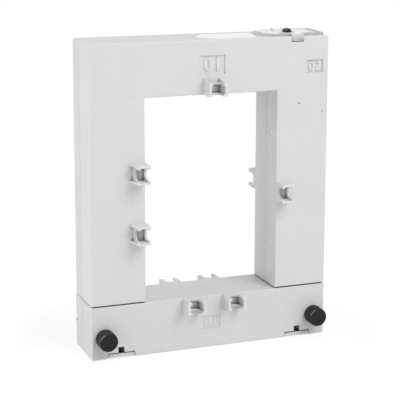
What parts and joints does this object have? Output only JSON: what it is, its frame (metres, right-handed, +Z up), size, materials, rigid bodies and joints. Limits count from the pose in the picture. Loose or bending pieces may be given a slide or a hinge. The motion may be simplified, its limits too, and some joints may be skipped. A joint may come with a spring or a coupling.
{
  "type": "split-core current transformer",
  "caption": "Window-type split-core current transformer: inverted-U coil housing on a screwed-on yoke base, clear terminal cover, thumb screws and clamp sockets.",
  "frame": {"origin": "under the middle of the base, on its bottom face", "axes": "+Z up, front face with the knobs towards -Y, +X to the right seen from the front"},
  "size_m": [0.144, 0.052, 0.183],
  "materials": {
    "grey_housing": "fine satin, light grey",
    "grey_housing_rear": "fine satin, light grey",
    "grey_base": "fine satin, light grey",
    "grey_base_rear": "fine satin, light grey",
    "core_steel": "stacked laminations, ground faces",
    "spring_steel": "bright spring strip",
    "insert_brass": "turned",
    "black_knob": "matte, knurled",
    "stud_steel": "zinc plated",
    "bobbin_plastic": "natural nylon",
    "copper_wire": "enamelled copper turns",
    "wrap_film": "amber film",
    "wire_sleeve": "sleeved lead",
    "foam": "closed-cell foam",
    "terminal_block_plastic": "moulded, light grey",
    "terminal_brass": "stamped",
    "plated_steel": "nickel plated",
    "white_label": "printed-film stock, blank",
    "clear_sheet": "clear film",
    "clear_cover": "clear moulded cover, faintly smoky",
    "black_screw": "black, domed"
  },
  "bodies": {
    "base": {"base_front_shell": "grey_base", "base_rear_shell": "grey_base_rear", "yoke_core": "core_steel", "yoke_spring_left": "spring_steel", "yoke_spring_right": "spring_steel", "stud_insert_left": "insert_brass", "stud_insert_right": "insert_brass"},
    "thumb_screw_left": {"thumb_knob_left": "black_knob", "thumb_stud_left": "stud_steel"},
    "thumb_screw_right": {"thumb_knob_right": "black_knob", "thumb_stud_right": "stud_steel"},
    "upper_body": {"body_front_shell": "grey_housing", "body_rear_shell": "grey_housing_rear", "u_core": "core_steel", "bobbin_left": "bobbin_plastic", "bobbin_right": "bobbin_plastic", "winding_left": "copper_wire", "winding_right": "copper_wire", "winding_wrap_left": "wrap_film", "winding_wrap_right": "wrap_film", "winding_link_wire": "wire_sleeve", "lead_wire_left": "wire_sleeve", "lead_wire_right": "wire_sleeve", "core_foam_strip": "foam", "terminal_block": "terminal_block_plastic", "terminal_plate_left": "terminal_brass", "terminal_plate_right": "terminal_brass", "clamp_washer_left": "plated_steel", "clamp_washer_right": "plated_steel", "cover_screw_insert": "insert_brass", "rating_label": "white_label", "label_window": "clear_sheet"},
    "cover": {"terminal_cover": "clear_cover"},
    "sealing_screw": {"cover_screw": "black_screw"},
    "wire_screw_left": {"terminal_screw_left": "plated_steel"},
    "wire_screw_right": {"terminal_screw_right": "plated_steel"}
  },
  "joints": [
    {"name": "body_lift", "type": "slide", "parent": "base", "child": "upper_body", "axis": [0, 0, 1], "range_m": [0, 0.05]},
    {"name": "cover_lift", "type": "slide", "parent": "upper_body", "child": "cover", "axis": [0, 0, 1], "range_m": [0, 0.015]},
    {"name": "sealing_screw_turn", "type": "hinge", "parent": "cover", "child": "sealing_screw", "pos_m": [0.0525, 0, 0.1815], "axis": [0, 0, 1], "continuous": true},
    {"name": "thumb_screw_left_turn", "type": "hinge", "parent": "base", "child": "thumb_screw_left", "pos_m": [-0.0646, -0.016, 0.0128], "axis": [0, -1, 0], "continuous": true},
    {"name": "wire_screw_left_turn", "type": "hinge", "parent": "upper_body", "child": "wire_screw_left", "pos_m": [0.0435, 0, 0.1754], "axis": [0, 0, 1], "continuous": true},
    {"name": "thumb_screw_right_turn", "type": "hinge", "parent": "base", "child": "thumb_screw_right", "pos_m": [0.0646, -0.016, 0.0128], "axis": [0, -1, 0], "continuous": true},
    {"name": "wire_screw_right_turn", "type": "hinge", "parent": "upper_body", "child": "wire_screw_right", "pos_m": [0.0615, 0, 0.1754], "axis": [0, 0, 1], "continuous": true}
  ]
}
